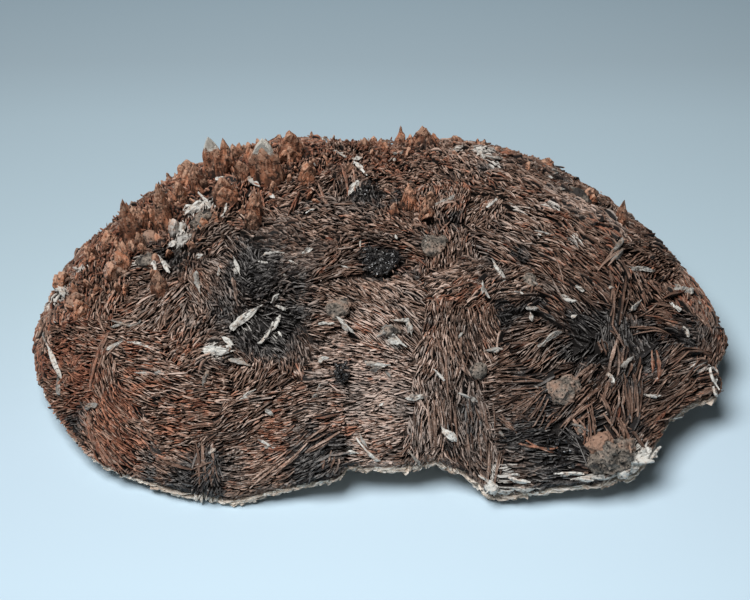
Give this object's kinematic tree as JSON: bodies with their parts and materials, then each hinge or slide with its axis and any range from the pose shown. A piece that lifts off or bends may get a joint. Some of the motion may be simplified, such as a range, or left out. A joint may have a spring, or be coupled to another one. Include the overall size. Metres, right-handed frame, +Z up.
{
  "type": "barite stone",
  "caption": "Low domed slab of bladed barite on a flat broken base, covered in bundles of thin plates standing on edge, with taller rust brown crystals and pale blades.",
  "frame": {"origin": "on the resting plane, under the centre of the slab's bounding box", "axes": "+X along the slab's long side, towards its pointed end; +Y towards the rounded side; +Z up, out of the dome"},
  "size_m": [0.2006, 0.1361, 0.0625],
  "materials": {
    "barite_stone": "dull natural stone: brown crystal plates over dark gaps, with pale and rust coloured crystals"
  },
  "bodies": {
    "root": {"barite_stone": "barite_stone"}
  },
  "joints": []
}
